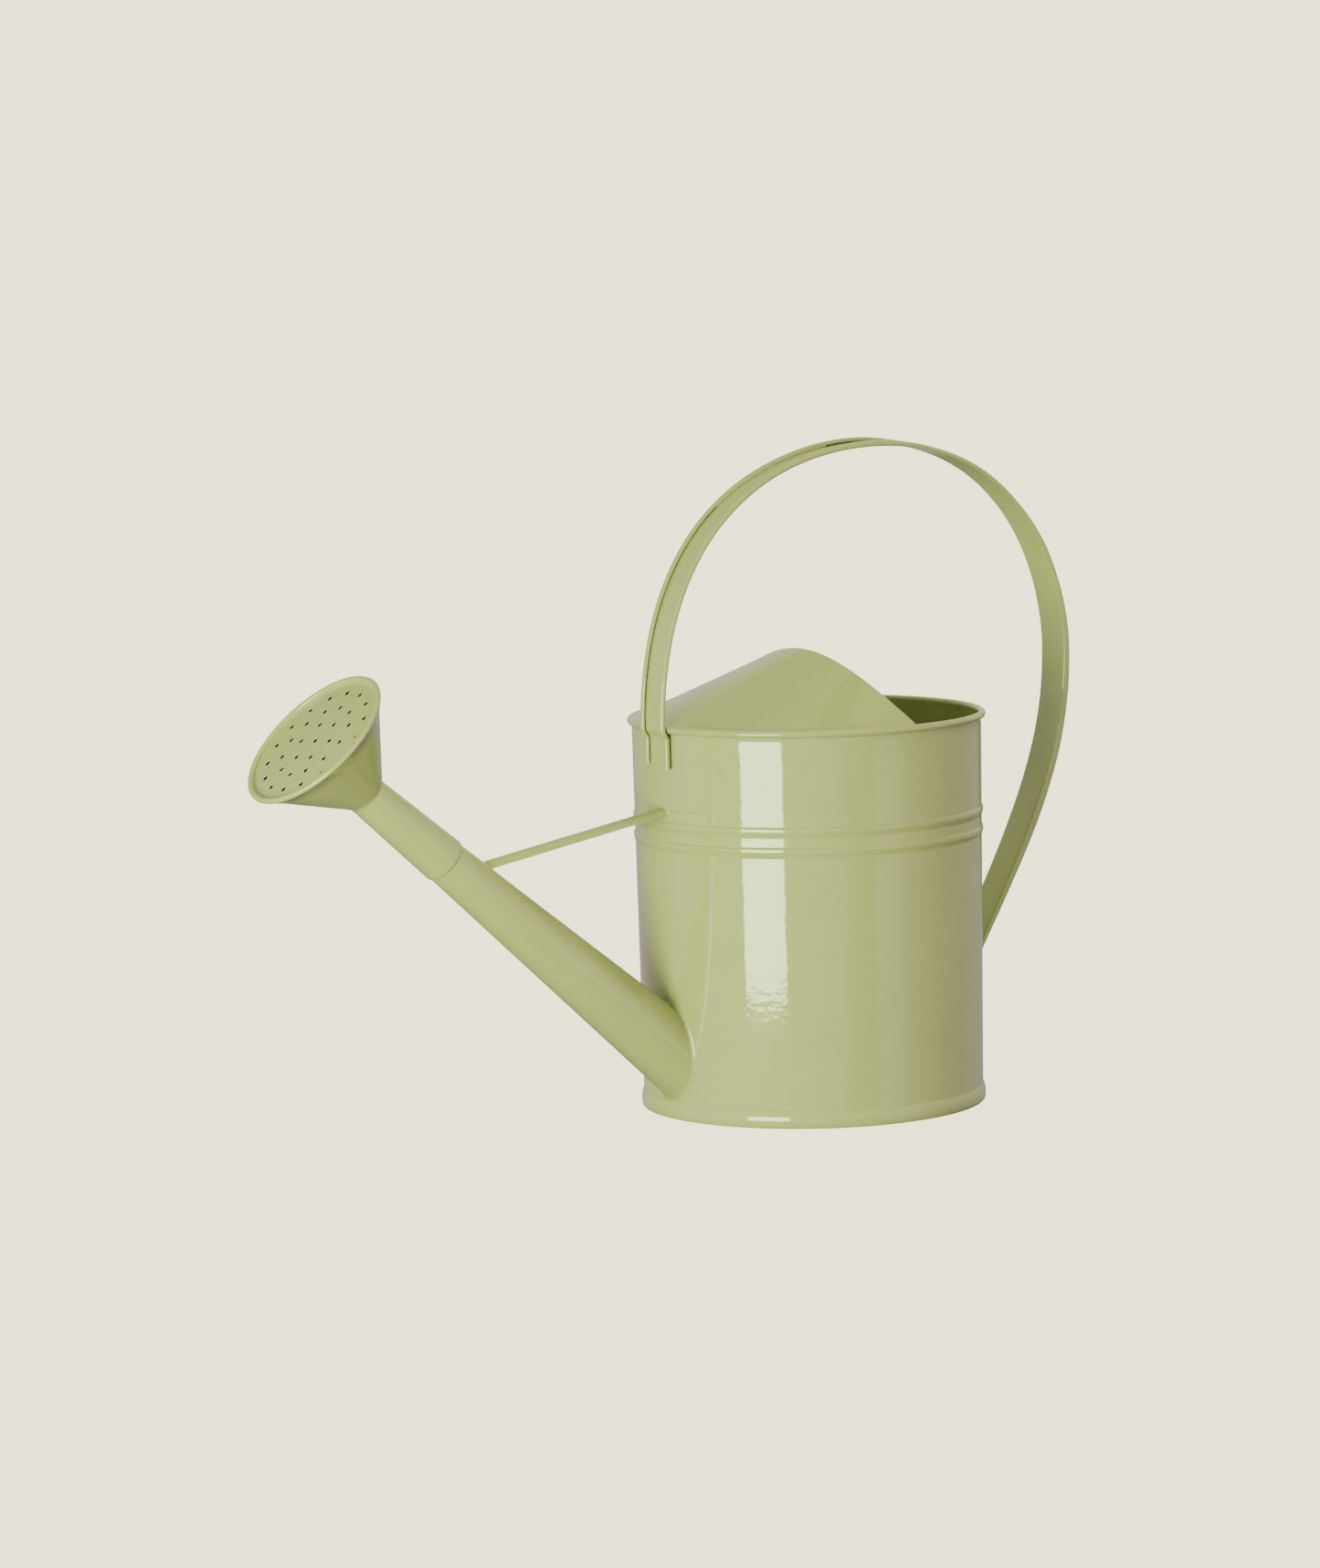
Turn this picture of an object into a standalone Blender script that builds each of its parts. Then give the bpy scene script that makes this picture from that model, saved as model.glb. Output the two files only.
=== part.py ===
"""Enamelled sheet-metal watering can: a round body with a splash hood, an arched strap handle, a tapered
spout held by a brace, and a push-on rose that turns and pulls off. Metres, +Z up. The spout points to -X.
The origin is on the floor under the middle of the whole can."""

import math

import bmesh
import bpy
from mathutils import Vector
from mathutils.geometry import interpolate_bezier

MM = 0.001

# Frame: the body's axis stands this far along +X, so that the can's box is centred on the origin.
BODY_X = 81.97 * MM

# Sheet and fits
SHEET = 0.6 * MM
STRAP_SHEET = 0.7 * MM
GAP = 0.3 * MM

# Body
BODY_HEIGHT = 210 * MM
WALL_TOP_R = 93.6 * MM
WALL_BASE_R = 91.3 * MM
BEAD_R = 2.0 * MM
BEAD_OUT = 0.3 * MM
RIB_HEIGHTS = (146.4 * MM, 155.6 * MM)
RIB_PROUD = 0.8 * MM
RIB_HALF_WIDTH = 2.4 * MM
BODY_STEPS = 48

# Foot, where the base is folded over the wall's lower edge
FOOT_R = 92.6 * MM
FOOT_HEIGHT = 6.4 * MM
BASE_LIFT = 5.4 * MM

# Hood: its free edge is an arch across the can, its lower edge follows the spout side of the rim
HOOD_RISE = 34.8 * MM
HOOD_PEAK_X = -3.3 * MM
HOOD_END_X = 6.6 * MM
HOOD_R = 92.0 * MM
HOOD_FOOT_Z = 209.7 * MM
HOOD_TUCK = 5.0 * MM
HOOD_SPAN = 0.988

# Handle: a strap with both edges rolled over its outer face
STRAP_WIDTH = 21.4 * MM
STRAP_BEND_R = 0.8 * MM
STRAP_LIP = 2.4 * MM
# The rolled edges are squeezed over the shoulder of the loop and stand taller down its back, and the strap
# leans a little at the top. Pairs of length along the strap and the value there, in mm and degrees.
ROLL_HEIGHTS = ((0, 2.9), (170, 3.0), (245, 3.4), (295, 2.1), (345, 2.0), (385, 3.4), (437, 4.3), (520, 5.0),
                  (610, 3.4), (700, 3.2))
STRAP_LEAN = ((0, 0), (170, 0), (245, 3.0), (320, 1.5), (400, 0), (700, 0))
LOOP_FRONT = (-96.5 * MM, 213.0 * MM)
LOOP_TOP = (41.5 * MM, 350.7 * MM)
LOOP_REAR = (165.4 * MM, 233.4 * MM)
LOOP_REAR_SLOPE = math.radians(58.4)
FRONT_FOOT_Z = (187.0 * MM, 203.0 * MM)
FRONT_JOGGLE_TOP = 208.5 * MM
REAR_FOOT_Z = (30.0 * MM, 51.8 * MM)
REAR_BEND_R = 9.0 * MM

# Spout
SPOUT_ANGLE = math.radians(39.92)
SPOUT_ROOT = (-92.0 * MM, 36.7 * MM)
SPOUT_ROOT_R = 19.1 * MM
SPOUT_COLLAR_R = 11.7 * MM
SPOUT_TIP_R = 9.4 * MM
COLLAR_S = 177.6 * MM
SPOUT_STEP_S = COLLAR_S + 10 * MM
SPOUT_TIP_S = COLLAR_S + 26 * MM
SPOUT_STEPS = 32

# Brace between spout and wall
BRACE_START = (-203.6 * MM, 144.1 * MM)
BRACE_END = (-92.6 * MM, 162.9 * MM)
BRACE_WIDTH = 10.4 * MM
BRACE_CROWN = 3.6 * MM
BRACE_SOLDER_R = 0.5 * MM

# Rose
NECK_S = 234.8 * MM
SLEEVE_R = (12.6 * MM, 10.6 * MM)
ROSE_ANGLE = math.radians(46.0)
ROSE_LENGTH = 45.2 * MM
ROSE_R = 42.8 * MM
ROSE_HEM = (1.6 * MM, 1.4 * MM)
ROSE_NECK = (11.6 * MM, 3.2 * MM)
ROSE_FLARE = (36.2 * MM, 36.6 * MM)
NECK_SOLDER_R = 0.5 * MM
FACE_DEPTH = 2.7 * MM
FACE_R = 40.1 * MM
HOLE_R = 1.3 * MM
HOLE_RINGS = ((1, 0.0, 0.0), (6, 12.6 * MM, 6.5), (12, 22.5 * MM, 4.5), (16, 32.6 * MM, 11.25))
CLOGGED = {(16, 6): 0.7 * MM, (16, 7): 0.0, (16, 8): 0.8 * MM}
SEAL_R = (9.7 * MM, 10.9 * MM)
SEAL_S = (COLLAR_S + 12.5 * MM, COLLAR_S + 21.5 * MM)

SPOUT_AXIS = Vector((-math.cos(SPOUT_ANGLE), 0, math.sin(SPOUT_ANGLE)))
ROSE_AXIS = Vector((-math.cos(ROSE_ANGLE), 0, math.sin(ROSE_ANGLE)))
SPOUT_ORIGIN = Vector((BODY_X + SPOUT_ROOT[0], 0, SPOUT_ROOT[1]))

ENAMEL = (0.47, 0.51, 0.29, 1)
STEEL = (0.45, 0.46, 0.47, 1)
RUBBER = (0.03, 0.03, 0.03, 1)


# ---------------------------------------------------------------- scene and materials

def clear_scene():
    for obj in list(bpy.data.objects):
        bpy.data.objects.remove(obj, do_unlink=True)


def new_collection(name):
    collection = bpy.data.collections.new(name)
    bpy.context.scene.collection.children.link(collection)
    return collection


def new_material(name, colour, roughness, metallic):
    material = bpy.data.materials.new(name)
    material.use_nodes = True
    shader = material.node_tree.nodes["Principled BSDF"]
    shader.inputs["Base Color"].default_value = colour
    shader.inputs["Roughness"].default_value = roughness
    shader.inputs["Metallic"].default_value = metallic
    return material


clear_scene()
CAN = new_collection("watering_can")
CUTTERS = new_collection("cutters")


def add_part(name, data, colour=ENAMEL, roughness=0.2, metallic=0.0):
    """A visible sub-part with a material of its own."""
    obj = bpy.data.objects.new(name, data)
    data.materials.append(new_material(name, colour, roughness, metallic))
    CAN.objects.link(obj)
    return obj


def add_cutter(name, data):
    obj = bpy.data.objects.new(name, data)
    obj.hide_render = True
    obj.display_type = "WIRE"
    CUTTERS.objects.link(obj)
    return obj


def cut(obj, cutter):
    modifier = obj.modifiers.new("cut_" + cutter.name, "BOOLEAN")
    modifier.operation = "DIFFERENCE"
    modifier.solver = "EXACT"
    modifier.object = cutter


# ---------------------------------------------------------------- shape helpers

def profile_mesh(name, outline, closed):
    """A profile in the XZ plane, as points joined by edges."""
    mesh = bpy.data.meshes.new(name)
    count = len(outline)
    edges = [(i, i + 1) for i in range(count - 1)]
    if closed:
        edges.append((count - 1, 0))
    mesh.from_pydata([(r, 0, z) for r, z in outline], edges, [])
    return mesh


def add_screw(obj, steps):
    screw = obj.modifiers.new("turn", "SCREW")
    screw.steps = steps
    screw.render_steps = steps
    screw.use_merge_vertices = True
    screw.merge_threshold = 0.00001
    screw.use_smooth_shade = True


def turned(name, outline, steps, closed=True, **look):
    """A part turned round its local Z axis from an outline of (radius, height) points."""
    obj = add_part(name, profile_mesh(name, outline, closed), **look)
    add_screw(obj, steps)
    return obj


def strip_outline(path, thickness):
    """The outline of a sheet of this thickness whose middle follows the path of (radius, height) points."""
    left = []
    right = []
    for i, point in enumerate(path):
        before = Vector(path[max(i - 1, 0)])
        after = Vector(path[min(i + 1, len(path) - 1)])
        here = Vector(point)
        incoming = (here - before).normalized() if i else (after - here).normalized()
        outgoing = (after - here).normalized() if i < len(path) - 1 else incoming
        along = (incoming + outgoing).normalized()
        normal = Vector((along.y, -along.x))
        reach = thickness / 2 / max(along.dot(outgoing), 0.5)
        right.append(tuple(here + normal * reach))
        left.append(tuple(here - normal * reach))
    return left + right[::-1]


def arc_points(centre, radius, start_deg, end_deg, count):
    points = []
    for i in range(count):
        angle = math.radians(start_deg + (end_deg - start_deg) * i / (count - 1))
        points.append((centre[0] + radius * math.cos(angle), centre[1] + radius * math.sin(angle)))
    return points


def sheet_mesh(name, rows):
    """An open sheet through rows of points, each row with the same number of points."""
    mesh = bpy.data.meshes.new(name)
    width = len(rows[0])
    faces = []
    for i in range(len(rows) - 1):
        for j in range(width - 1):
            corner = i * width + j
            faces.append((corner, corner + 1, corner + width + 1, corner + width))
    mesh.from_pydata([tuple(point) for row in rows for point in row], [], faces)
    mesh.shade_smooth()
    return mesh


def thicken(obj, thickness, offset):
    solidify = obj.modifiers.new("thickness", "SOLIDIFY")
    solidify.thickness = thickness
    solidify.offset = offset
    solidify.use_even_offset = True


def tube(name, points, radius, cyclic, resolution=1, **look):
    """A wire or a bead of solder along a line of points."""
    curve = bpy.data.curves.new(name, "CURVE")
    curve.dimensions = "3D"
    curve.bevel_depth = radius
    curve.bevel_resolution = resolution
    curve.use_fill_caps = not cyclic
    spline = curve.splines.new("POLY")
    spline.points.add(len(points) - 1)
    for slot, point in zip(spline.points, points):
        slot.co = (*point, 1)
    spline.use_cyclic_u = cyclic
    return add_part(name, curve, **look)


def circle_points(radius, height, start_deg, end_deg, count):
    """Points on a level circle about the body's axis; 180 degrees is the spout side."""
    points = []
    for i in range(count):
        angle = math.radians(start_deg + (end_deg - start_deg) * i / (count - 1))
        points.append(Vector((BODY_X + radius * math.cos(angle), radius * math.sin(angle), height)))
    return points


def cone_cutter(name, radius_low, radius_high, length, origin, angle, sides=48):
    """A closed cone or cylinder that starts at origin and runs along the tilted axis."""
    mesh = bpy.data.meshes.new(name)
    shape = bmesh.new()
    bmesh.ops.create_cone(shape, cap_ends=True, segments=sides, radius1=radius_low,
                          radius2=radius_high, depth=length)
    bmesh.ops.translate(shape, verts=shape.verts, vec=(0, 0, length / 2))
    shape.to_mesh(mesh)
    shape.free()
    cutter = add_cutter(name, mesh)
    place_on_axis(cutter, origin, angle)
    return cutter


def place_on_axis(obj, origin, angle):
    """Puts the object's local Z along an axis that rises at this angle towards -X."""
    obj.location = origin
    obj.rotation_euler = (0, angle - math.pi / 2, 0)


# ---------------------------------------------------------------- body

def wall_radius(height):
    """The wall's outer radius, which narrows slightly towards the foot."""
    return WALL_BASE_R + (WALL_TOP_R - WALL_BASE_R) * height / BODY_HEIGHT


def wall_middle(height):
    return wall_radius(height) - SHEET / 2


def rib_points(centre):
    points = []
    for step in (-1, -0.5, 0, 0.5, 1):
        height = centre + step * RIB_HALF_WIDTH
        points.append((wall_middle(height) + RIB_PROUD * (1 - abs(step)), height))
    return points


def bead_centre():
    return WALL_TOP_R + BEAD_OUT, BODY_HEIGHT - BEAD_R


def make_body_shell():
    """The rolled wall with two swaged ribs, its top edge curled outwards over the rim wire."""
    edge_z = 1.6 * MM
    shoulder_z = 203.5 * MM
    path = [(wall_middle(edge_z), edge_z), (wall_middle(0.08), 0.08)]
    for centre in RIB_HEIGHTS:
        path += rib_points(centre)
    path.append((wall_middle(shoulder_z), shoulder_z))
    path += arc_points(bead_centre(), BEAD_R - SHEET / 2, 200, -75, 8)
    body = turned("body_shell", strip_outline(path, SHEET), BODY_STEPS)
    body.location.x = BODY_X
    hole_start = SPOUT_ORIGIN - SPOUT_AXIS * 0.03
    taper = (SPOUT_ROOT_R - SPOUT_COLLAR_R) / COLLAR_S
    hole = cone_cutter("spout_hole", SPOUT_ROOT_R + GAP + 0.03 * taper, SPOUT_ROOT_R + GAP - 0.03 * taper,
                       0.06, hole_start, SPOUT_ANGLE, SPOUT_STEPS)
    cut(body, hole)


def make_rim_wire():
    radius, height = bead_centre()
    wire_r = BEAD_R - SHEET - GAP
    wire = turned("rim_wire", arc_points((radius, height), wire_r, 90, -225, 8), BODY_STEPS,
                  colour=STEEL, roughness=0.4, metallic=1.0)
    wire.location.x = BODY_X


def make_base_plate():
    """A pressed base set up inside the wall, its edge folded down, round and up to grip the wall."""
    inner_r = 89.6 * MM
    outer_r = FOOT_R - SHEET / 2
    low = SHEET / 2
    path = [(0, BASE_LIFT), (inner_r - 1.6 * MM, BASE_LIFT), (inner_r - 0.4 * MM, BASE_LIFT - 0.5 * MM),
            (inner_r, BASE_LIFT - 1.6 * MM), (inner_r, low + 0.5 * MM), (inner_r + 0.5 * MM, low),
            (outer_r - 0.7 * MM, low), (outer_r, low + 0.8 * MM), (outer_r, FOOT_HEIGHT - 1.5 * MM),
            (outer_r - 0.3 * MM, FOOT_HEIGHT)]
    base = turned("base_plate", strip_outline(path, SHEET), BODY_STEPS, closed=False)
    base.location.x = BODY_X


# ---------------------------------------------------------------- hood

def hood_row(along):
    """The two ends of the hood's straight line at this place, from -1 at one rim end to 1 at the other."""
    half = math.sqrt(HOOD_R ** 2 - HOOD_END_X ** 2)
    turn = math.acos(-HOOD_END_X / HOOD_R) * along
    low = Vector((-HOOD_R * math.cos(turn), HOOD_R * math.sin(turn), HOOD_FOOT_Z))
    across = 0.84 * along + 0.16 * math.sin(math.pi / 2 * along)
    arch = math.cos(math.pi / 2 * across)
    high = Vector((HOOD_END_X + (HOOD_PEAK_X - HOOD_END_X) * arch, half * across, HOOD_FOOT_Z + HOOD_RISE * arch))
    return high, low


def make_hood():
    """A curved sheet from the arched free edge down to the rim, tucked into the mouth along its lower edge."""
    columns = 33
    rows = [[] for _ in range(8)]
    for i in range(columns):
        high, low = hood_row(HOOD_SPAN * (-1 + 2 * i / (columns - 1)))
        for k in range(6):
            rows[k].append(high.lerp(low, k / 5))
        inward = Vector((low.x, low.y, 0)).normalized() * -0.7 * MM
        rows[6].append(low + inward - Vector((0, 0, 0.9 * MM)))
        rows[7].append(low + inward - Vector((0, 0, HOOD_TUCK)))
    hood = add_part("hood", sheet_mesh("hood", rows))
    hood.location.x = BODY_X
    thicken(hood, SHEET, -1)


def make_hood_solder():
    radius = 0.5 * MM
    tube("hood_solder", circle_points(92.5 * MM, 210.45 * MM, 97, 263, 41), radius, False)


# ---------------------------------------------------------------- handle

def loop_path():
    """The strap's inner face from the front foot, up over the loop and down to the rear foot, with how
    closely it lies on the wall at each point: 1 on a foot, 0 on the loop."""
    front_x = -wall_radius(FRONT_FOOT_Z[1]) - GAP
    rear_x = wall_radius(REAR_FOOT_Z[1]) + GAP
    path = []
    for i in range(3):
        height = FRONT_FOOT_Z[0] + (FRONT_FOOT_Z[1] - FRONT_FOOT_Z[0]) * i / 2
        path.append((front_x, height, 1.0))
    for i in range(1, 7):
        t = i / 6
        ease = t * t * (3 - 2 * t)
        height = FRONT_FOOT_Z[1] + (FRONT_JOGGLE_TOP - FRONT_FOOT_Z[1]) * t
        path.append((front_x + (LOOP_FRONT[0] - front_x) * ease, height, 1 - ease))
    drop = REAR_BEND_R * math.sin(math.pi / 2 - LOOP_REAR_SLOPE)
    side = REAR_BEND_R * (1 - math.cos(math.pi / 2 - LOOP_REAR_SLOPE))
    loop_end = Vector((rear_x + side, REAR_FOOT_Z[1] + drop))
    slope = Vector((math.cos(LOOP_REAR_SLOPE), math.sin(LOOP_REAR_SLOPE)))
    front, top, rear = Vector(LOOP_FRONT), Vector(LOOP_TOP), Vector(LOOP_REAR)
    spans = ((front, front + Vector((4.2, 117)) * MM, top - Vector((45.7, 0)) * MM, top, 17),
             (top, top + Vector((94.8, 0)) * MM, rear + Vector((0, 45.4)) * MM, rear, 14),
             (rear, rear - Vector((0, 48.8)) * MM, loop_end + slope * 106 * MM, loop_end, 10))
    for start, near_start, near_end, end, count in spans:
        points = interpolate_bezier(start, near_start, near_end, end, count)
        path += [(p.x, p.y, 0.0) for p in points[:-1]]
    bend = arc_points((rear_x + REAR_BEND_R, REAR_FOOT_Z[1]), REAR_BEND_R,
                      180 - math.degrees(math.pi / 2 - LOOP_REAR_SLOPE), 180, 5)
    path += [(x, z, i / 4) for i, (x, z) in enumerate(bend)]
    path += [(rear_x, (REAR_FOOT_Z[0] + REAR_FOOT_Z[1]) / 2, 1.0), (rear_x, REAR_FOOT_Z[0], 1.0)]
    return path


def strap_section(height):
    """The strap's face as (across, out) points, from one rolled edge's lip to the other's."""
    half = STRAP_WIDTH / 2
    side = [(half - STRAP_LIP, height), (half - STRAP_BEND_R, height), (half, height - STRAP_BEND_R),
            (half, STRAP_BEND_R), (half - STRAP_BEND_R, 0), (half * 0.4, 0)]
    return side + [(-across, out) for across, out in side[::-1]]


def between(pairs, at):
    """The value at this place, straight between the pairs on either side of it."""
    for (start, low), (end, high) in zip(pairs, pairs[1:]):
        if at <= end:
            return low + (high - low) * (at - start) / (end - start)
    return pairs[-1][1]


def make_handle():
    path = loop_path()
    rows = []
    length = 0
    for i, (x, z, hug) in enumerate(path):
        before = path[max(i - 1, 0)]
        after = path[min(i + 1, len(path) - 1)]
        along = Vector((after[0] - before[0], after[1] - before[1])).normalized()
        length += math.hypot(x - before[0], z - before[1])
        lean = math.tan(math.radians(between(STRAP_LEAN, length / MM)))
        row = []
        for across, out in strap_section(between(ROLL_HEIGHTS, length / MM) * MM):
            sag = wall_radius(z) - math.sqrt(wall_radius(z) ** 2 - across ** 2)
            reach = out + lean * across - hug * sag
            row.append((BODY_X + x - along.y * reach, across, z + along.x * reach))
        rows.append(row)
    handle = add_part("handle_strap", sheet_mesh("handle_strap", rows))
    thicken(handle, STRAP_SHEET, 1)


# ---------------------------------------------------------------- spout and brace

def spout_radius(s):
    return SPOUT_ROOT_R + (SPOUT_COLLAR_R - SPOUT_ROOT_R) * s / COLLAR_S


def on_spout(s):
    return SPOUT_ORIGIN + SPOUT_AXIS * s


def wall_clearance(name, radius, sides=96):
    return cone_cutter(name, radius, radius, 0.4, Vector((BODY_X, 0, -0.05)), math.pi / 2, sides)


def make_spout(inside_body):
    """The tapered tube, its lower end trimmed just inside the wall and its tip stepped down for the rose."""
    start = -50 * MM
    middle = -SHEET / 2
    path = [(spout_radius(start) + middle, start), (spout_radius(SPOUT_STEP_S) + middle, SPOUT_STEP_S),
            (SPOUT_TIP_R + middle, SPOUT_STEP_S + 1.5 * MM), (SPOUT_TIP_R + middle, SPOUT_TIP_S)]
    spout = turned("spout_tube", strip_outline(path, SHEET), SPOUT_STEPS)
    place_on_axis(spout, SPOUT_ORIGIN, SPOUT_ANGLE)
    cut(spout, inside_body)


def spout_wall_line(offset, count):
    """The closed line at this distance from both the spout and the wall, round the spout's root."""
    side = Vector((0, 1, 0))
    up = SPOUT_AXIS.cross(side)
    points = []
    for i in range(count):
        turn = 2 * math.pi * i / count
        outward = side * math.cos(turn) + up * math.sin(turn)
        low, high = -45 * MM, 60 * MM
        for _ in range(40):
            s = (low + high) / 2
            point = on_spout(s) + outward * (spout_radius(s) + offset)
            outside = math.hypot(point.x - BODY_X, point.y) > wall_radius(point.z) + offset
            low, high = (low, s) if outside else (s, high)
        points.append(point)
    return points


def make_spout_solder():
    bead = 0.9 * MM
    tube("spout_solder", spout_wall_line(bead + GAP, 40), bead, True)


def brace_frame():
    start = Vector((BODY_X + BRACE_START[0], 0, BRACE_START[1]))
    end = Vector((BODY_X + BRACE_END[0], 0, BRACE_END[1]))
    along = (end - start).normalized()
    return start, end, along, Vector((-along.z, 0, along.x))


def brace_row(place, up, extra, count):
    """Points over the brace's crown at one place, this far outside its outer face."""
    row = []
    for x, z in arc_points((0, 0), 1.0, 180, 0, count):
        row.append(place + Vector((0, x * (BRACE_WIDTH / 2 + extra), 0)) + up * z * (BRACE_CROWN + extra))
    return row


def make_brace(wall_cutter, spout_cutter):
    """A half-round strip, crown up, cut to fit the spout at one end and the wall at the other."""
    start, end, along, up = brace_frame()
    first = start - along * 4.7 * MM
    last = end + along * 3.8 * MM
    rows = [brace_row(first.lerp(last, i / 9), up, 0, 9) for i in range(10)]
    brace = add_part("brace", sheet_mesh("brace", rows))
    thicken(brace, SHEET, 1)
    cut(brace, wall_cutter)
    cut(brace, spout_cutter)


def wall_distance(point):
    return math.hypot(point.x - BODY_X, point.y) - wall_radius(point.z)


def spout_distance(point):
    s = (point - SPOUT_ORIGIN).dot(SPOUT_AXIS)
    return (point - on_spout(s)).length - spout_radius(s)


def make_brace_solder(name, distance, at_wall):
    """A bead over the brace's crown, the same small gap from the brace and from what it is fixed to."""
    start, end, along, up = brace_frame()
    reach = BRACE_SOLDER_R + GAP
    towards = along if at_wall else -along
    begin = end if at_wall else start
    points = []
    for first in brace_row(begin - towards * 8 * MM, up, reach, 11):
        low, high = 0, 40 * MM
        for _ in range(40):
            middle = (low + high) / 2
            clear = distance(first + towards * middle) > reach
            low, high = (middle, high) if clear else (low, middle)
        points.append(first + towards * high)
    tube(name, points, BRACE_SOLDER_R, False)


# ---------------------------------------------------------------- rose

def make_rose_sleeve():
    end = NECK_S + 4.2 * MM
    middle = -SHEET / 2
    path = [(SLEEVE_R[0] + middle, COLLAR_S), (SLEEVE_R[1] + middle, end)]
    sleeve = turned("rose_sleeve", strip_outline(path, SHEET), SPOUT_STEPS)
    place_on_axis(sleeve, SPOUT_ORIGIN, SPOUT_ANGLE)


def make_rose_cone():
    """The spreader cone, its rim curled inwards over the face plate's edge."""
    half_width, half_height = ROSE_HEM
    path = [ROSE_NECK, ROSE_FLARE]
    for across, up in arc_points((0, 0), 1.0, -60, 200, 7):
        path.append((ROSE_R - half_width + across * (half_width - SHEET / 2),
                     ROSE_LENGTH - half_height + up * (half_height - SHEET / 2)))
    cone = turned("rose_cone", strip_outline(path, SHEET), BODY_STEPS)
    place_on_axis(cone, on_spout(NECK_S), ROSE_ANGLE)


def make_rose_solder():
    """The bead in the corner where the sleeve enters the cone."""
    outline = arc_points((ROSE_NECK[0] + 0.2 * MM, ROSE_NECK[1] - 1.0 * MM), NECK_SOLDER_R, 90, -210, 6)
    solder = turned("rose_neck_solder", outline, BODY_STEPS)
    place_on_axis(solder, on_spout(NECK_S), ROSE_ANGLE)


def make_rose_face():
    """The flat perforated plate. Enamel has clogged two of its outer holes in part and one of them wholly."""
    curve = bpy.data.curves.new("rose_face", "CURVE")
    curve.dimensions = "2D"
    curve.fill_mode = "BOTH"
    curve.extrude = SHEET / 2
    add_round(curve, (0, 0), FACE_R, BODY_STEPS)
    for count, ring_r, first_deg in HOLE_RINGS:
        for i in range(count):
            angle = math.radians(first_deg + 360 * i / count)
            bore = CLOGGED.get((count, i), HOLE_R)
            if bore:
                add_round(curve, (ring_r * math.cos(angle), ring_r * math.sin(angle)), bore, 8)
    face = add_part("rose_face", curve)
    place_on_axis(face, on_spout(NECK_S) + ROSE_AXIS * (ROSE_LENGTH - FACE_DEPTH - SHEET / 2), ROSE_ANGLE)


def add_round(curve, centre, radius, sides):
    spline = curve.splines.new("POLY")
    spline.points.add(sides - 1)
    spline.use_cyclic_u = True
    for i, slot in enumerate(spline.points):
        angle = 2 * math.pi * i / sides
        slot.co = (centre[0] + radius * math.cos(angle), centre[1] + radius * math.sin(angle), 0, 1)


def make_rose_seal():
    """The rubber ring in the sleeve that grips the spout's stepped tip."""
    inner, outer = SEAL_R
    lip = 0.5 * MM
    low, high = SEAL_S
    outline = [(inner, high - lip), (inner + lip, high), (outer - lip, high), (outer, high - lip),
               (outer, low + lip), (outer - lip, low), (inner + lip, low), (inner, low + lip)]
    seal = turned("rose_seal", outline, SPOUT_STEPS, colour=RUBBER, roughness=0.7)
    place_on_axis(seal, SPOUT_ORIGIN, SPOUT_ANGLE)


def main():
    make_body_shell()
    make_rim_wire()
    make_base_plate()
    make_hood()
    make_hood_solder()
    make_handle()
    make_spout(wall_clearance("body_inside", WALL_BASE_R - SHEET - 1.5 * MM))
    make_spout_solder()
    brace_wall = wall_clearance("brace_wall", wall_radius(BRACE_END[1]) + GAP)
    spout_keep = cone_cutter("brace_spout", spout_radius(0.1) + GAP, spout_radius(SPOUT_STEP_S) + GAP,
                             SPOUT_STEP_S - 0.1, on_spout(0.1), SPOUT_ANGLE, 64)
    make_brace(brace_wall, spout_keep)
    make_brace_solder("brace_wall_solder", wall_distance, True)
    make_brace_solder("brace_spout_solder", spout_distance, False)
    make_rose_sleeve()
    make_rose_solder()
    make_rose_cone()
    make_rose_face()
    make_rose_seal()


main()
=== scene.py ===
"""Looks for the enamelled watering can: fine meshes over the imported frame, glossy enamel, studio light and a
camera. Shapes are worked out in millimetres about the body's axis, then placed in the frame."""

import math

import bpy
import numpy as np
from mathutils import Matrix, Vector, noise
from mathutils.geometry import delaunay_2d_cdt


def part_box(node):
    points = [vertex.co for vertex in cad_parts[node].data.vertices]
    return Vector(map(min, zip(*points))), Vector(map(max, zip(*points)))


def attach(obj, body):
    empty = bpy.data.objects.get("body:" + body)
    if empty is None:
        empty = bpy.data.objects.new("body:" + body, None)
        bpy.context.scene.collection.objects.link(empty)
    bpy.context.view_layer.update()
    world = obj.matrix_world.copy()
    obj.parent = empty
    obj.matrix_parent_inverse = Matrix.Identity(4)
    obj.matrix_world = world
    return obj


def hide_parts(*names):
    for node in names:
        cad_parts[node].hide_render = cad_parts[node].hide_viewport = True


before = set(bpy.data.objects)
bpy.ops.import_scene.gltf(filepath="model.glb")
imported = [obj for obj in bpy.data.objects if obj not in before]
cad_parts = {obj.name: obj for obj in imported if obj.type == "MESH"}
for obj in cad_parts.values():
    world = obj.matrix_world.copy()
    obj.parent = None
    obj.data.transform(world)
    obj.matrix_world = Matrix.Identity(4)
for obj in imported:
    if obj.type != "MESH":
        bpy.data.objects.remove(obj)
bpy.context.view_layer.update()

MM = 0.001
LOW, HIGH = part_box("body_shell")
BODY_X = (LOW.x + HIGH.x) / 2 / MM

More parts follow.
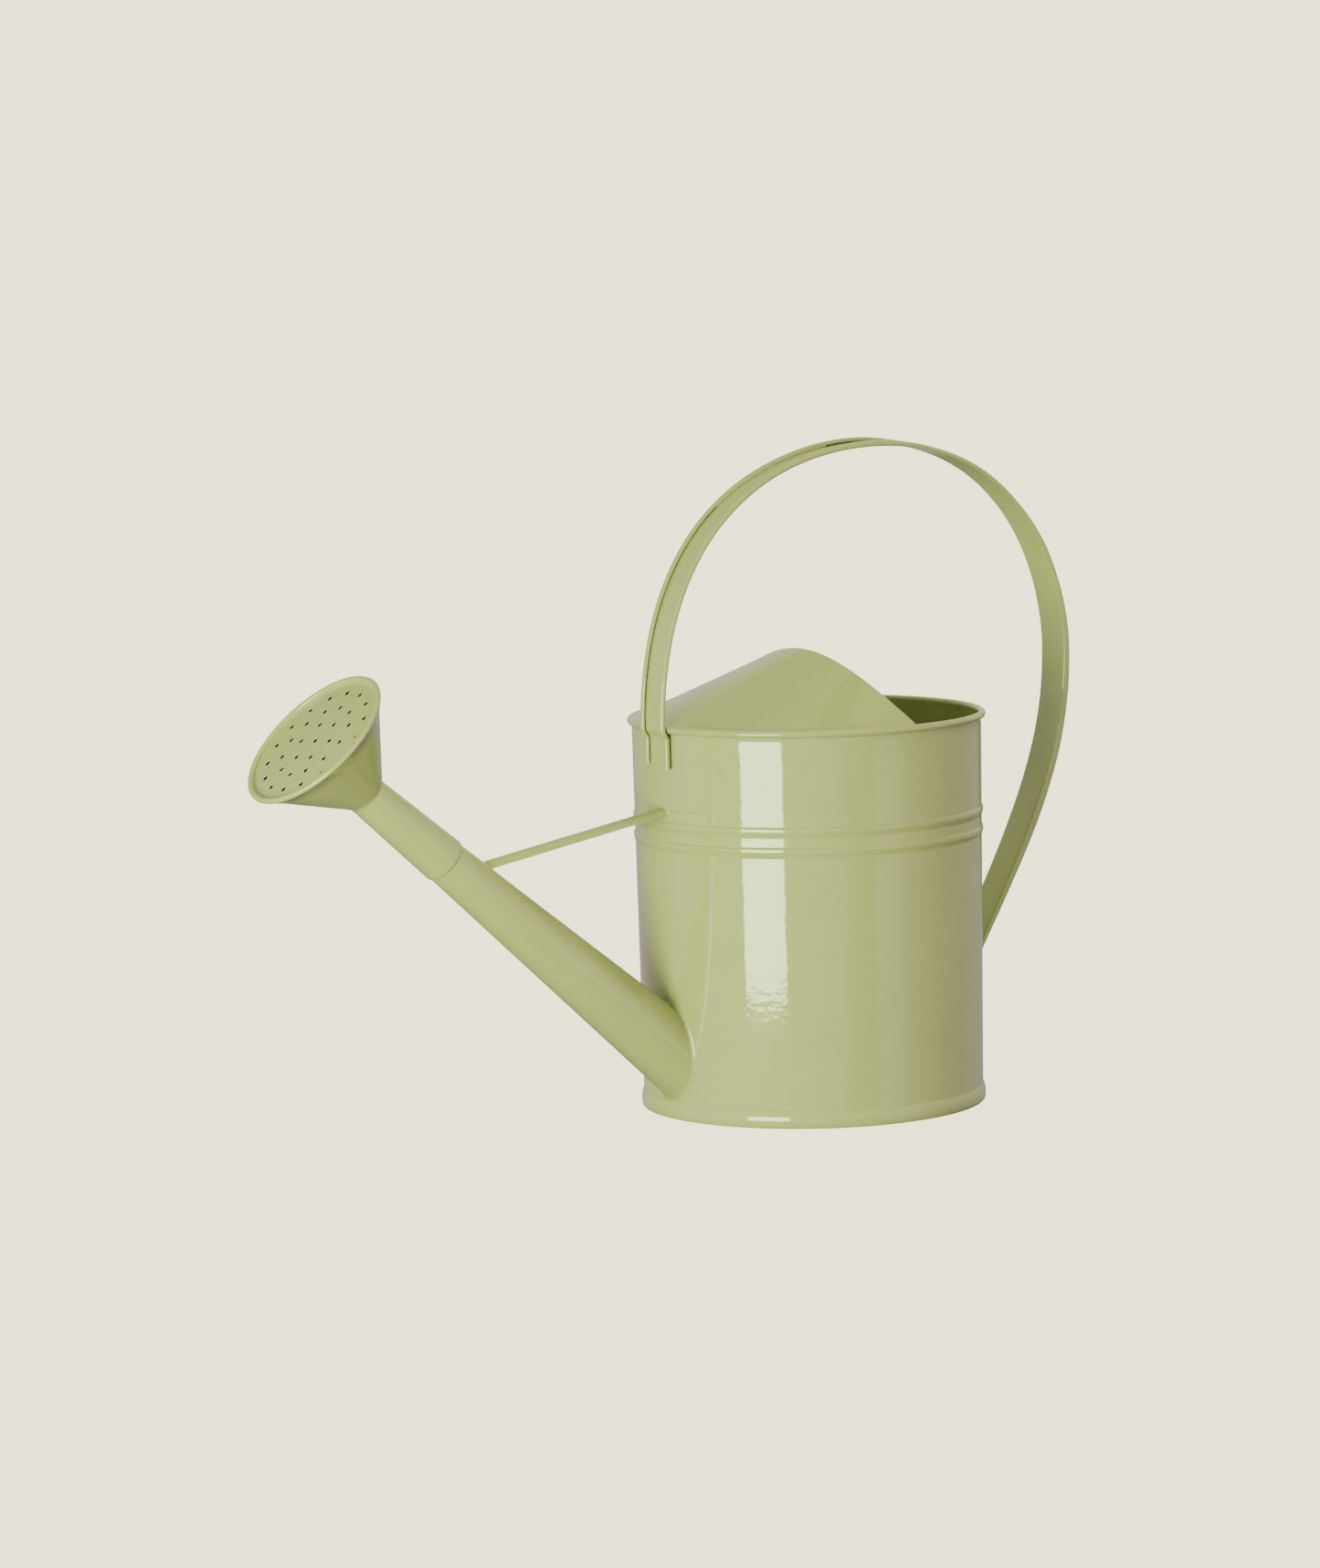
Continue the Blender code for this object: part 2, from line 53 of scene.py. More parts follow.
# Body
SHEET = 0.6
HEIGHT = 210.0
TOP_R = 93.6
BASE_R = 91.3
BEAD = (93.9, 208.0)
BEAD_R = 2.0
RIBS = (146.9, 157.5)
RIB_RISE = 0.75
RIB_TOP = (0.7, 1.7)  # above a crest's height: where its flat ends, and where its sharp edge meets the wall
RIB_FOOT = (0.6, 4.3)  # below it: where the flat starts, and where the long slope leaves the wall
WINDOW = (8.0, 72.0)  # the rows of points between these heights make room for the spout's hole

# Hood
HOOD_R = 92.0
HOOD_Z = 209.7
HOOD_RISE = 34.8
HOOD_PEAK_X = -3.3
HOOD_END_X = 6.6
HOOD_SPAN = 0.992

# Spout and rose
SPOUT_ANGLE = math.radians(39.92)
ROSE_ANGLE = math.radians(46.0)
SPOUT_AXIS = np.array((-math.cos(SPOUT_ANGLE), 0, math.sin(SPOUT_ANGLE)))
ROSE_AXIS = np.array((-math.cos(ROSE_ANGLE), 0, math.sin(ROSE_ANGLE)))
SIDE = np.array((0.0, 1.0, 0.0))
SPOUT_UP = np.cross(SPOUT_AXIS, SIDE)
SPOUT_ROOT = np.array((-92.0, 0, 36.7))
SPOUT_R = (19.1, 11.7)
TIP_R = 9.4

# Lengths along the spout's axis: the sleeve's open end, the spout's step and tip, the start of the rose's own
# axis and the sleeve's other end
COLLAR = 177.6
STEP = COLLAR + 10
TIP = COLLAR + 26
NECK = 234.8
SLEEVE_END = NECK + 4.2

SLEEVE_R = (12.6, 10.6)
ROSE_ORIGIN = SPOUT_ROOT + SPOUT_AXIS * NECK
ROSE_LENGTH = 45.2
ROSE_R = 42.8

# The rose's plate. A ring of holes is a count, a radius and its first angle in degrees. CLOGGED gives the
# bores that enamel has narrowed or closed, by the ring's count and the place in it.
PLATE = 0.4
PLATE_R = 38.4
PLATE_STEPS = 200
HOLE_RINGS = ((1, 0.0, 0.0), (6, 12.6, 6.5), (12, 22.5, 4.5), (16, 32.6, 11.25))
HOLE_R = 1.3
HOLE_STEPS = 28
PUNCHED_R = 2.2
CLOGGED = {(16, 6): 0.7, (16, 7): 0.0, (16, 8): 0.8}

# Brace: a strip with an arched section
BRACE_START = np.array((-203.6, 0, 144.1))
BRACE_END = np.array((-92.6, 0, 162.9))
BRACE_ALONG = (BRACE_END - BRACE_START) / np.linalg.norm(BRACE_END - BRACE_START)
BRACE_UP = np.array((-BRACE_ALONG[2], 0, BRACE_ALONG[0]))
BRACE_HALF = 5.2
BRACE_CROWN = 3.6

# Strap handle. PRESSED is where its rolled edges are nearly shut. ROLL_HEIGHTS and STRAP_LEAN are pairs of
# length along the strap and the value there, a height in millimetres or a lean in degrees.
STRAP_HALF = 10.7
STRAP_SHEET = 0.7
PRESSED = (150, 226)
ROLL_HEIGHTS = ((0, 2.9), (170, 3.0), (245, 3.4), (295, 2.1), (345, 2.0), (385, 3.4), (437, 4.3), (520, 5.0),
                (610, 3.4), (720, 3.2))
STRAP_LEAN = ((0, 0), (170, 0), (245, 3.0), (320, 1.5), (400, 0), (720, 0))


# ---------------------------------------------------------------- small helpers

def ease(t):
    t = min(max(t, 0.0), 1.0)
    return t * t * (3 - 2 * t)


def between(pairs, at):
    """The value at this place on a smooth curve through the pairs."""
    for (start, low), (end, high) in zip(pairs, pairs[1:]):
        if at <= end:
            return low + (high - low) * ease((at - start) / (end - start))
    return pairs[-1][1]


def arc(centre, radius, start, end, count):
    """Points on an arc between two angles in degrees."""
    turn = np.radians(np.linspace(start, end, count))
    return [(centre[0] + radius * math.cos(a), centre[1] + radius * math.sin(a)) for a in turn]


def circle(x, y, radius, count):
    """Points evenly round a circle."""
    turns = [2 * math.pi * k / count for k in range(count)]
    return [(x + radius * math.cos(a), y + radius * math.sin(a)) for a in turns]


def grain(point, size, seed=0.0):
    """Smooth noise from -1 to 1 whose bumps are about this many millimetres across."""
    return noise.noise(Vector((point[0] / size + seed, point[1] / size - seed, point[2] / size)))


def offset_strip(path, thickness):
    """The two sides of a sheet whose middle follows the path. Thickness is one number or one a point."""
    path = np.array(path, float)
    thickness = np.broadcast_to(np.asarray(thickness, float), (len(path),))
    step = np.diff(path, axis=0)
    step /= np.linalg.norm(step, axis=1)[:, None]
    before = np.vstack([step[:1], step])
    after = np.vstack([step, step[-1:]])
    along = before + after
    along /= np.linalg.norm(along, axis=1)[:, None]
    cosine = np.clip((along * after).sum(1), 0.6, 1)
    normal = np.stack([along[:, 1], -along[:, 0]], 1)
    reach = (thickness / 2 / cosine)[:, None]
    return path + normal * reach, path - normal * reach


def bend_curve(start, corner, end, count):
    """Points on a curve from start to end that bends towards the corner."""
    return [start * (1 - t) ** 2 + 2 * corner * t * (1 - t) + end * t * t for t in np.linspace(0, 1, count)]


def make_mesh(name, points, faces, sharp):
    """A smooth-shaded piece from millimetre points about the body's axis, sharp at edges over this angle."""
    points = np.array(points, float)
    points[:, 0] += BODY_X
    mesh = bpy.data.meshes.new(name)
    mesh.from_pydata((points * MM).tolist(), [], [tuple(int(i) for i in face) for face in faces])
    mesh.validate()
    mesh.shade_smooth()
    mesh.set_sharp_from_angle(angle=math.radians(sharp))
    obj = bpy.data.objects.new(name, mesh)
    bpy.context.scene.collection.objects.link(obj)
    return obj


def grid_faces(rows, columns, wrap_rows=False, wrap_columns=False, start=0):
    """Quads over rows of points, closed into a ring along either direction if asked."""
    faces = []
    for i in range(rows if wrap_rows else rows - 1):
        for j in range(columns if wrap_columns else columns - 1):
            a = start + i * columns + j
            b = start + i * columns + (j + 1) % columns
            c = start + (i + 1) % rows * columns + (j + 1) % columns
            d = start + (i + 1) % rows * columns + j
            faces.append((a, b, c, d))
    return faces


def ring_faces(first, second, flip=False):
    """Quads between two rings of points, which are given by their numbers."""
    quads = zip(first, [*first[1:], first[0]], [*second[1:], second[0]], second)
    return [quad[::-1] if flip else quad for quad in quads]


def face_outwards(mesh):
    """Turns a closed mesh's faces outwards."""
    mesh.calc_loop_triangles()
    co = np.array([v.co for v in mesh.vertices])
    tri = np.array([t.vertices for t in mesh.loop_triangles])
    a, b, c = co[tri[:, 0]], co[tri[:, 1]], co[tri[:, 2]]
    if np.einsum("ij,ij->i", a, np.cross(b, c)).sum() < 0:
        mesh.flip_normals()


def finish_piece(obj, body, material, *nodes):
    """Gives a piece its material and its body, and puts it in the place of the CAD's nodes."""
    face_outwards(obj.data)
    obj.data.materials.append(material)
    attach(obj, body)
    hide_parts(*nodes)


def axis_frame(origin, axis):
    """Origin, axis, sideways and upwards directions of a turned piece on a slanted axis."""
    return origin, axis, SIDE, np.cross(axis, SIDE)


def turned(name, outline, place, steps, ripple, sharp):
    """A closed outline of (radius, length) points turned about the axis of a place from axis_frame."""
    origin, axis, side, up = place
    points = []
    for radius, length in outline:
        for k in range(steps):
            a = 2 * math.pi * k / steps
            outward = side * math.cos(a) + up * math.sin(a)
            spot = origin + axis * length + outward * radius
            if ripple:
                spot = spot + outward * ripple * grain(spot, 14)
            points.append(spot)
    return make_mesh(name, points, grid_faces(len(outline), steps, True, True), sharp)


# ---------------------------------------------------------------- where the surfaces are

def rib(z):
    """How far the ribs stand out here: each has a flat crest, a sharp top edge and a long lower slope."""
    flat_end, edge = RIB_TOP
    flat_start, foot = RIB_FOOT
    proud = 0.0
    for crest in RIBS:
        above = z - crest
        upper = ease((edge - above) / (edge - flat_end))
        lower = ease((above + foot) / (foot - flat_start))
        proud += RIB_RISE * upper * lower
    return proud


def wall_radius(z):
    return BASE_R + (TOP_R - BASE_R) * z / HEIGHT


def wall_ripple(angle, z):
    """How far the rolled sheet stands off a true cone here."""
    spot = (BASE_R * math.cos(angle), BASE_R * math.sin(angle), z)
    slow = noise.noise(Vector((spot[0] / 70, spot[1] / 70, spot[2] / 150 + 3.1)))
    quick = noise.noise(Vector((spot[0] / 16 + 9, spot[1] / 16, spot[2] / 22)))
    return 0.10 * slow + 0.016 * quick


def on_wall(angle, z, out=0.0):
    """A point on the wall's outer face, or this far off it."""
    r = wall_radius(z) + rib(z) + wall_ripple(angle, z) + out
    return np.array((r * math.cos(angle), r * math.sin(angle), z))


def wall_distance(p):
    """How far the point is outside the wall, ribs and ripples left out."""
    return math.hypot(p[0], p[1]) - wall_radius(p[2])


def spout_radius(s):
    return SPOUT_R[0] + (SPOUT_R[1] - SPOUT_R[0]) * s / COLLAR


def spout_distance(p):
    """How far the point is outside the spout."""
    d = p - SPOUT_ROOT
    s = d @ SPOUT_AXIS
    return np.linalg.norm(d - SPOUT_AXIS * s) - spout_radius(s)


def on_spout(s, angle, out=0.0):
    """A point this far along the spout on its outer face, or this far off it."""
    outward = SIDE * math.cos(angle) + SPOUT_UP * math.sin(angle)
    return SPOUT_ROOT + SPOUT_AXIS * s + outward * (spout_radius(s) + out)


def sleeve_radius(s):
    return SLEEVE_R[0] + (SLEEVE_R[1] - SLEEVE_R[0]) * (s - COLLAR) / (SLEEVE_END - COLLAR)


def solve(test, low, high, rounds=30):
    """The place between low and high where the test turns true."""
    for _ in range(rounds):
        middle = (low + high) / 2
        low, high = (low, middle) if test(middle) else (middle, high)
    return (low + high) / 2


# ---------------------------------------------------------------- materials

GREEN = (0.325, 0.350, 0.118)
MOTTLE = 0.05


def enamel(name, colour, rough, peel, grit):
    """Glossy enamel: even colour with faint cloudy mottling, and orange peel this high in millimetres."""
    material = bpy.data.materials.new(name)
    material.use_nodes = True
    nodes = material.node_tree.nodes
    links = material.node_tree.links
    shader = nodes["Principled BSDF"]
    place = nodes.new("ShaderNodeTexCoord")
    cloud = nodes.new("ShaderNodeTexNoise")
    cloud.inputs["Scale"].default_value = 28
    cloud.inputs["Detail"].default_value = 4
    cloud.inputs["Roughness"].default_value = 0.6
    speck = nodes.new("ShaderNodeTexNoise")
    speck.inputs["Scale"].default_value = 420
    speck.inputs["Detail"].default_value = 2
    blend = nodes.new("ShaderNodeMix")
    blend.data_type = "FLOAT"
    blend.inputs[0].default_value = 0.35
    ramp = nodes.new("ShaderNodeValToRGB")
    ramp.color_ramp.elements[0].position = 0.3
    ramp.color_ramp.elements[1].position = 0.7
    ramp.color_ramp.elements[0].color = (*[c * (1 - MOTTLE) for c in colour], 1)
    ramp.color_ramp.elements[1].color = (*[c * (1 + MOTTLE) for c in colour], 1)
    links.new(place.outputs["Object"], cloud.inputs["Vector"])
    links.new(place.outputs["Object"], speck.inputs["Vector"])
    links.new(cloud.outputs["Fac"], blend.inputs[2])
    links.new(speck.outputs["Fac"], blend.inputs[3])
    links.new(blend.outputs[0], ramp.inputs["Fac"])
    links.new(ramp.outputs["Color"], shader.inputs["Base Color"])
    wave = nodes.new("ShaderNodeTexNoise")
    wave.inputs["Scale"].default_value = grit
    wave.inputs["Detail"].default_value = 1.0
    bump = nodes.new("ShaderNodeBump")
    bump.inputs["Strength"].default_value = 0.5
    bump.inputs["Distance"].default_value = peel * MM
    links.new(place.outputs["Object"], wave.inputs["Vector"])
    links.new(wave.outputs["Fac"], bump.inputs["Height"])
    links.new(bump.outputs["Normal"], shader.inputs["Normal"])
    gloss = nodes.new("ShaderNodeMapRange")
    gloss.inputs["To Min"].default_value = rough * 0.8
    gloss.inputs["To Max"].default_value = rough * 1.3
    links.new(cloud.outputs["Fac"], gloss.inputs["Value"])
    links.new(gloss.outputs["Result"], shader.inputs["Roughness"])
    shader.inputs["IOR"].default_value = 1.5
    return material


def plain_material(name, colour, rough, metallic):
    """One colour with a fine grain in its surface."""
    material = bpy.data.materials.new(name)
    material.use_nodes = True
    nodes = material.node_tree.nodes
    links = material.node_tree.links
    shader = nodes["Principled BSDF"]
    shader.inputs["Base Color"].default_value = (*colour, 1)
    shader.inputs["Roughness"].default_value = rough
    shader.inputs["Metallic"].default_value = metallic
    place = nodes.new("ShaderNodeTexCoord")
    grit = nodes.new("ShaderNodeTexNoise")
    grit.inputs["Scale"].default_value = 300
    bump = nodes.new("ShaderNodeBump")
    bump.inputs["Distance"].default_value = 0.02 * MM
    links.new(place.outputs["Object"], grit.inputs["Vector"])
    links.new(grit.outputs["Fac"], bump.inputs["Height"])
    links.new(bump.outputs["Normal"], shader.inputs["Normal"])
    return material


ENAMEL = enamel("enamel", GREEN, rough=0.055, peel=0.02, grit=110)
ENAMEL_WALL = enamel("enamel_wall", GREEN, rough=0.055, peel=0.07, grit=260)
ENAMEL_ROSE = enamel("enamel_rose", GREEN, rough=0.1, peel=0.01, grit=110)
STEEL = plain_material("drawn_steel", (0.5, 0.5, 0.5), 0.35, 1.0)
RUBBER = plain_material("seal_rubber", (0.02, 0.02, 0.02), 0.6, 0.0)


# ---------------------------------------------------------------- body

def wall_heights():
    """Heights of the rows of points up the wall, close together over the ribs."""
    fine = np.arange(141.6, 161.5, 0.35)
    return [1.6, 4.0, 6.4, *np.arange(8.0, 140.0, 4.0), *fine, *np.arange(162.4, 202.0, 4.0)]


def make_wall():
    """The rolled wall, with its curl over the rim's wire and a hole for the spout."""
    columns = 240
    turns = [2 * math.pi * k / columns for k in range(columns)]
    heights = wall_heights()
    neck = [(wall_radius(203.2) - 0.34, 203.2), (wall_radius(204.6) - 0.55, 204.6), (92.75, 206.0)]
    curl = neck + arc(BEAD, BEAD_R - SHEET / 2, 196, -118, 40)
    outer, inner = offset_strip([(wall_radius(202.0) - SHEET / 2, 202.0)] + curl, SHEET)
    points = [on_wall(a, z) for z in heights for a in turns]
    for r, z in [*outer[1:], *inner[:0:-1]]:
        points += [np.array((r * math.cos(a), r * math.sin(a), z)) for a in turns]
    points += [on_wall(a, z, -SHEET) for z in heights[::-1] for a in turns]
    rows = len(points) // columns

    # A window is left in both sides of the sheet, then filled with rings round the spout's hole
    low, high = (heights.index(z) for z in WINDOW)
    left, right = 108, 132
    border = [(low, j) for j in range(left, right)] + [(i, right) for i in range(low, high)]
    border += [(high, j) for j in range(right, left, -1)] + [(i, left) for i in range(high, low, -1)]

    def in_window(face):
        row, column = divmod(face[0], columns)
        return left <= column < right and (low <= row < high or low <= rows - 2 - row < high)

    def spoke(end):
        """Places on the wall from the hole's edge out towards this one, as angle and height."""
        middle = np.array((math.pi, 36.6))
        edge = solve(lambda t: spout_distance(on_wall(*(middle + (end - middle) * t))) > 0.3, 0.0, 1.0)
        shares = (0.0, 0.1, 0.24, 0.42, 0.64, 0.84)
        return [middle + (end - middle) * (edge + (1 - edge) * share) for share in shares]

    spokes = [spoke(np.array((turns[j], heights[i]))) for i, j in border]
    faces = [face for face in grid_faces(rows, columns, True, True) if not in_window(face)]

    def fill_window(out, row_of):
        """Fills the window on one side of the sheet and returns the ring at the hole's edge."""
        rings = []
        for places in zip(*spokes):
            rings.append(range(len(points), len(points) + len(border)))
            points.extend(on_wall(angle, z, out) for angle, z in places)
        rings.append([row_of(i) * columns + j for i, j in border])
        for inside, outside in zip(rings, rings[1:]):
            faces.extend(ring_faces(inside, outside, out == 0))
        return rings[0]

    outside_edge = fill_window(0.0, lambda i: i)
    inside_edge = fill_window(-SHEET, lambda i: rows - 1 - i)
    faces += ring_faces(outside_edge, inside_edge)
    wall = make_mesh("wall", points, faces, 50)
    finish_piece(wall, "can", ENAMEL_WALL, "body_shell")


def make_base():
    """The raised base with a pressed ring, and the foot's fold that laps up over the wall and thins out."""
    disc = [(0.6, 5.4), (30, 5.4), (60, 5.4), (70, 5.4)]
    pressed_ring = [(71.5, 5.25), (73, 4.8), (74.5, 4.65), (76, 4.8), (77.5, 5.25), (79, 5.4)]
    corner = [(84, 5.4), (87.4, 5.4), (88.4, 5.2), (89.1, 4.7), (89.45, 3.9), (89.6, 3.0)]
    fold = [(89.6, 1.6), (89.7, 1.0), (90.0, 0.55), (90.5, 0.31), (91.2, 0.3), (91.7, 0.42), (92.1, 0.8)]
    lap = [(92.32, 1.5), (92.42, 2.6), (92.46, 3.8), (92.44, 4.8), (92.34, 5.8), (92.1, 6.8), (91.85, 7.7)]
    lap += [(91.66, 8.5), (91.52, 9.2)]
    path = disc + pressed_ring + corner + fold + lap
    feather = [0.56, 0.44, 0.26, 0.08]
    thickness = [SHEET] * (len(path) - len(feather)) + feather
    outer, inner = offset_strip(path, thickness)
    outer[0, 0] = inner[0, 0] = 0.02
    place = (np.zeros(3), np.array((0, 0, 1.0)), np.array((1.0, 0, 0)), SIDE)
    base = turned("foot_and_base", [*outer, *inner[::-1]], place, 240, 0.0, 50)
    finish_piece(base, "can", ENAMEL, "base_plate")


# ---------------------------------------------------------------- hood

def hood_ends(along):
    """The two ends of the hood's straight line at this place: on the free edge and on the rim."""
    half = math.sqrt(HOOD_R ** 2 - HOOD_END_X ** 2)
    turn = math.acos(-HOOD_END_X / HOOD_R) * along
    low = np.array((-HOOD_R * math.cos(turn), HOOD_R * math.sin(turn), HOOD_Z))
    across = 0.84 * along + 0.16 * math.sin(math.pi / 2 * along)
    arch = math.cos(math.pi / 2 * across)
    edge_x = HOOD_END_X + (HOOD_PEAK_X - HOOD_END_X) * arch
    high = np.array((edge_x, half * across, HOOD_Z + HOOD_RISE * arch))
    return high, low


def hood_point(along, down):
    """On the hood's outer face: down is 0 at the free edge and 1 at the rim, and over 1 inside the mouth."""
    high, low = hood_ends(along)
    if down <= 1:
        spot = high + (low - high) * down
        middle = math.sin(math.pi * down)
        spot[2] += middle * (0.35 * grain(spot, 60, 2.0) + 0.03 * grain(spot, 18, 5.0))
        return spot
    inward = -np.array((low[0], low[1], 0)) / np.linalg.norm(low[:2])
    step = (down - 1) * 6
    return low + inward * 0.7 * min(step, 1) - np.array((0, 0, 0.9 * min(step, 1) + max(step - 1, 0) * 0.82))


def make_hood():
    """The hood's sheet, with a hem inside the mouth. Its columns crowd towards the two low corners."""
    columns, rows = 181, 30
    turn = math.pi / 2 * 0.86
    spread = np.sin(np.linspace(-turn, turn, columns)) / math.sin(turn)
    downs = [*np.linspace(0, 1, rows), 1.08, 1.17, 1.5, 2.0]
    face = np.array([[hood_point(HOOD_SPAN * a, d) for a in spread] for d in downs])
    normal = np.cross(np.gradient(face, axis=1), np.gradient(face, axis=0))
    normal /= np.linalg.norm(normal, axis=2)[:, :, None]
    if normal[rows // 2, columns // 2, 2] < 0:
        normal = -normal
    under = face - normal * SHEET
    n, m = face.shape[:2]
    points = np.vstack([face.reshape(-1, 3), under.reshape(-1, 3)])
    faces = grid_faces(n, m) + [q[::-1] for q in grid_faces(n, m, start=n * m)]
    rim = list(range(m)) + [i * m + m - 1 for i in range(1, n)]
    rim += [(n - 1) * m + j for j in range(m - 2, -1, -1)] + [i * m for i in range(n - 2, 0, -1)]
    faces += ring_faces([k + n * m for k in rim], rim)
    hood = make_mesh("splash_hood", points, faces, 40)
    bevel = hood.modifiers.new("edge", "BEVEL")
    bevel.width = 0.16 * MM
    bevel.segments = 2
    bevel.limit_method = "ANGLE"
    bevel.angle_limit = math.radians(60)
    finish_piece(hood, "can", ENAMEL, "hood")


def make_hood_seam():
    """The solder run in the corner between the hood and the rolled rim."""
    points = []
    count = 260
    crown = math.radians(104)
    for along in np.linspace(-0.955, 0.955, count):
        high, low = hood_ends(along)
        rough = 0.5 + 0.5 * grain((low[0], low[1], 0), 5, 1.0)
        climb = 1.2 + 0.7 * rough
        start = low + (high - low) / np.linalg.norm(high - low) * climb
        outward = np.array((low[0], low[1], 0)) / np.linalg.norm(low[:2])
        bead = outward * BEAD[0] + np.array((0, 0, BEAD[1]))
        end = bead + BEAD_R * (outward * math.cos(crown) + np.array((0, 0, math.sin(crown))))
        corner = low + outward * 0.35 + np.array((0, 0, 0.2 + 0.25 * rough))
        for k, spot in enumerate(bend_curve(start, corner, end, 7)):
            points.append(spot + np.array((0, 0, 0.02 + 0.25 * math.sin(math.pi * k / 6))))
        points.append(end - np.array((0, 0, 0.5)) - outward * 0.1)
        points.append(low - outward * 0.2 - np.array((0, 0, 0.7)))
        points.append(start - np.array((0, 0, 0.4)))
    faces = grid_faces(count, 10, False, True)
    faces.append(tuple(range(9, -1, -1)))
    faces.append(tuple((count - 1) * 10 + k for k in range(10)))
    seam = make_mesh("hood_seam", points, faces, 60)
    finish_piece(seam, "can", ENAMEL, "hood_solder")


# ---------------------------------------------------------------- handle

def bezier(p0, p1, p2, p3, count):
    """Points on the cubic curve from p0 to p3."""
    t = np.linspace(0, 1, count)[:, None]
    p0, p1, p2, p3 = (np.array(p, float) for p in (p0, p1, p2, p3))
    return (1 - t) ** 3 * p0 + 3 * (1 - t) ** 2 * t * p1 + 3 * (1 - t) * t * t * p2 + t ** 3 * p3


def strap_path():
    """The strap's inner face and how closely it hugs the wall, from the front foot to the rear foot."""
    foot, bend_top = 187.0, 203.0
    front_x = -wall_radius(bend_top) - 0.3
    front, top, rear = (-96.5, 213.0), (41.5, 350.7), (165.4, 233.4)
    rear_low, rear_high = 30.0, 51.8
    rear_x = wall_radius(rear_high) + 0.3
    slope = math.radians(58.4)
    bend = 9.0
    end = (rear_x + bend * (1 - math.sin(slope)), rear_high + bend * math.cos(slope))
    path = [(front_x, z, 1.0) for z in np.linspace(foot, bend_top, 12)]
    for t in np.linspace(0, 1, 19)[1:]:
        path.append((front_x + (front[0] - front_x) * ease(t), bend_top + 5.5 * t, 1 - ease(t)))
    aim = (end[0] + 106 * math.cos(slope), end[1] + 106 * math.sin(slope))
    spans = ((front, (-92.3, 330.0), (-4.2, top[1]), top, 90),
             (top, (136.3, top[1]), (rear[0], 278.8), rear, 80),
             (rear, (rear[0], 184.6), aim, end, 80))
    for span in spans:
        path += [(x, z, 0.0) for x, z in bezier(*span)[:-1]]
    turn = arc((rear_x + bend, rear_high), bend, 90 + math.degrees(slope), 180, 14)
    path += [(x, z, i / 13) for i, (x, z) in enumerate(turn)]
    path += [(rear_x, z, 1.0) for z in np.linspace(rear_high, rear_low, 10)[1:]]
    return np.array(path)


def strap_outline(height, slit):
    """The strap's closed section as (across, out) points: a flat web with both edges rolled over it."""
    half = STRAP_SHEET / 2
    edge = STRAP_HALF - half
    top = height - half
    r = min(1.15, (top - half) * 0.47)
    lip = 2.9
    lip_r = min(0.75, top - half - 0.15)
    path = [(x, half) for x in (0, 2.5, 5.0, 7.0, 8.2)]
    path += arc((edge - r, half + r), r, -90, 0, 7)
    path += arc((edge - r, top - r), r, 0, 90, 7)
    path += arc((edge - lip + lip_r + half, top - lip_r), lip_r, 90, 180, 6)
    path.append((edge - lip + half, max(min(STRAP_SHEET + slit, top - lip_r - 0.05), STRAP_SHEET + 0.02)))
    outer, inner = offset_strip(path, STRAP_SHEET)
    right = [*outer[1:], *inner[:0:-1]]
    left = [(-x, z) for x, z in right[::-1]]
    return [outer[0], *right, inner[0], *left]


def end_caps(count, start, flip):
    """Quads that close one end of the strap: each joins the sheet's outer face to its inner face."""
    side = (count - 2) // 4
    right = list(range(0, 2 * side + 2))
    left = [0] + list(range(count - 1, 2 * side, -1))
    quads = []
    for k in range(side):
        quads.append((right[k], right[k + 1], right[2 * side - k], right[2 * side + 1 - k]))
        quads.append((left[k + 1], left[k], left[2 * side + 1 - k], left[2 * side - k]))
    return [tuple(start + i for i in (quad[::-1] if flip else quad)) for quad in quads]


def make_handle():
    """The strap: its section follows the path, and its height, lean and opening change along it."""
    path = strap_path()
    length = np.concatenate([[0], np.cumsum(np.linalg.norm(np.diff(path[:, :2], axis=0), axis=1))])
    rows = []
    for i, (x, z, hug) in enumerate(path):
        along = (path[min(i + 1, len(path) - 1)] - path[max(i - 1, 0)])[:2]
        along = along / np.linalg.norm(along)
        here = length[i]
        lean = math.tan(math.radians(between(STRAP_LEAN, here)))
        height = between(ROLL_HEIGHTS, here) + 0.12 * grain((here, 0, 0), 23, 4.0)
        slit = 0.15 if PRESSED[0] <= here <= PRESSED[1] else 0.95
        slit += 0.12 * grain((here, 0, 0), 6, 7.0)
        row = []
        for across, out in strap_outline(height, slit):
            sag = wall_radius(z) - math.sqrt(wall_radius(z) ** 2 - across ** 2)
            lift = 0.75 * hug * (across / STRAP_HALF) ** 2 if here < 40 else 0
            reach = out + lean * across - hug * sag + lift
            skew = (1.6 + 0.11 * across) * max(1 - here / 14, 0)
            row.append((x - along[1] * reach, across, z + along[0] * reach + skew))
        rows.append(row)
    rows = np.array(rows)
    n, m = rows.shape[:2]
    faces = grid_faces(n, m, False, True) + end_caps(m, 0, False) + end_caps(m, (n - 1) * m, True)
    handle = make_mesh("strap_handle", rows.reshape(-1, 3), faces, 45)
    finish_piece(handle, "can", ENAMEL, "handle_strap")


# ---------------------------------------------------------------- spout and brace

